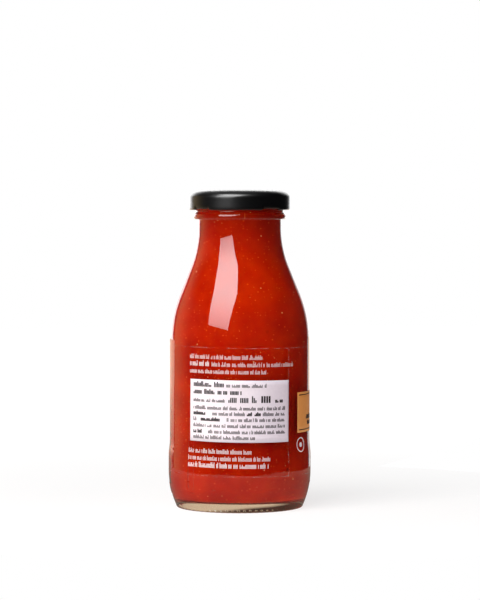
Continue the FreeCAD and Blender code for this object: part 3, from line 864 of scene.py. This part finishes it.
# The key lamp on the left makes the long highlight on the shoulder, and a smaller one hangs above
# it. The fill on the right and the low one on the left are hidden from gloss: they light the jar
# and leave no highlight on it.
softbox("key_softbox", -32.6, 41.0, -7, 0.9, 0.63, 1.04, 4.6, 0.52)
softbox("top_softbox", -32, 72, 0, 0.9, 0.56, 0.34, 3.4)
fill = softbox("fill_softbox", 62, 15, 0, 1.0, 0.8, 0.8, 1.25, colour="#FFD8D6")
fill.visible_glossy = False
low = softbox("low_softbox", -55, 0, 0, 1.0, 0.7, 0.6, 4.3, colour="#FFE6CC")
low.visible_glossy = False

# The room: white as the camera sees it. In what the jar mirrors and what lights it, it is bright
# behind, dim and warm on the left, and dark in front, on the right and overhead.
world = bpy.data.worlds.new("studio_room")
bpy.context.scene.world = world
world.use_nodes = True
tree = world.node_tree
tree.nodes.clear()
out = add(tree, "ShaderNodeOutputWorld")
look = add(tree, "ShaderNodeSeparateXYZ", {
    "Vector": add(tree, "ShaderNodeTexCoord").outputs["Generated"]})
toward = add(tree, "ShaderNodeMath", {0: look.outputs["Y"], 1: -1.0}, operation="MULTIPLY")
turn = add(tree, "ShaderNodeMath", {0: look.outputs["X"], 1: toward.outputs[0]},
           operation="ARCTAN2")
turn = add(tree, "ShaderNodeMapRange", {"Value": turn.outputs[0], "From Min": -math.pi,
                                        "From Max": math.pi})
WALLS = [                       # degrees from the camera's side, to the right, brightness and tint
    (-180, 2.0, "#FFFFFF"), (-145, 2.0, "#FFFFFF"), (-142, 0.06, "#FFFFFF"),
    (-137, 0.06, "#FFFFFF"), (-133, 0.4, "#FFE0AC"), (-118, 0.33, "#FFE0AC"),
    (-92, 0.04, "#FFFFFF"), (-60, 0.012, "#FFFFFF"), (120, 0.012, "#FFFFFF"),
    (149, 0.02, "#FFFFFF"), (160, 1.0, "#FFFFFF"), (180, 2.0, "#FFFFFF"),
]
walls = add(tree, "ShaderNodeValToRGB", {"Fac": turn.outputs[0]})
stops = walls.color_ramp.elements
for number, (degrees, brightness, tint) in enumerate(WALLS):
    stop = stops[number] if number < 2 else stops.new(1.0)
    stop.position = (degrees + 180) / 360
    stop.color = linear(tint)
    stop.color = (*(brightness * share for share in stop.color[:3]), 1)
CEILING = 0.06                  # brightness overhead, as a share of the walls below
WALL_TOP, CEILING_FROM = 0.3, 0.5       # sines of the angles over the horizon
level = add(tree, "ShaderNodeMapRange", {"Value": look.outputs["Z"], "From Min": WALL_TOP,
                                         "From Max": CEILING_FROM, "To Min": 1.0,
                                         "To Max": CEILING},
            interpolation_type="SMOOTHSTEP")
room = add(tree, "ShaderNodeMix", {0: level.outputs[0], 6: (0, 0, 0, 1),
                                   7: walls.outputs["Color"]}, data_type="RGBA")
path = add(tree, "ShaderNodeLightPath")

# What the glass lets through, which is almost all in its thick foot, is neither the white nor the
# room: it is a made-up pattern of cream and dark, where plain white would clip. The dark is
# painted shade: it stands for the table in the jar's shade and the dark room, seen bent through
# the foot. The slope along X darkens one side further, as painted shade of the jar's shadow. With
# X and Z the ray's direction, it is dark where the sine of BANDS times Z, less SLOPE times X, is
# above BAND_DARK, and cream where it is below BAND_BRIGHT.
FOOT_BRIGHT, FOOT_PAINTED_SHADE = "#F6EAD8", "#30281E"
BANDS, SLOPE, BAND_BRIGHT, BAND_DARK = 30.0, 2.5, -0.1, 0.7
wave = add(tree, "ShaderNodeMath", {0: look.outputs["Z"], 1: BANDS}, operation="MULTIPLY")
wave = add(tree, "ShaderNodeMath", {0: wave.outputs[0]}, operation="SINE")
wave = add(tree, "ShaderNodeMath", {0: look.outputs["X"], 1: -SLOPE, 2: wave.outputs[0]},
           operation="MULTIPLY_ADD")
# Painted shade: how far each ray falls in the dark of the pattern.
dark = add(tree, "ShaderNodeMapRange", {"Value": wave.outputs[0], "From Min": BAND_BRIGHT,
                                        "From Max": BAND_DARK})
bands = add(tree, "ShaderNodeMix", {0: dark.outputs[0], 6: linear(FOOT_BRIGHT),
                                    7: linear(FOOT_PAINTED_SHADE)}, data_type="RGBA")
through = add(tree, "ShaderNodeMix", {0: straight_sight(tree, path, "Is Transmission Ray"),
                                      6: room.outputs[2], 7: bands.outputs[2]}, data_type="RGBA")
seen = add(tree, "ShaderNodeMix", {0: path.outputs["Is Camera Ray"], 6: through.outputs[2],
                                   7: (1, 1, 1, 1)}, data_type="RGBA")
back = add(tree, "ShaderNodeBackground", {"Color": seen.outputs[2], "Strength": 1.0})
tree.links.new(back.outputs[0], out.inputs["Surface"])

# The camera: a long lens, looking a little down on the jar.
CAMERA_DISTANCE, CAMERA_HEIGHT, CAMERA_SIDE = 1.26, 0.1463, 0.0002
CAMERA_DOWN, LENS = math.radians(2.413), 168
lens = bpy.data.cameras.new("camera")
lens.lens = LENS
camera = bpy.data.objects.new("camera", lens)
bpy.context.collection.objects.link(camera)
camera.location = (CAMERA_SIDE, -CAMERA_DISTANCE, CAMERA_HEIGHT)
camera.rotation_euler = (math.pi / 2 - CAMERA_DOWN, 0, 0)
bpy.context.scene.camera = camera
bpy.context.scene.view_settings.view_transform = "Standard"
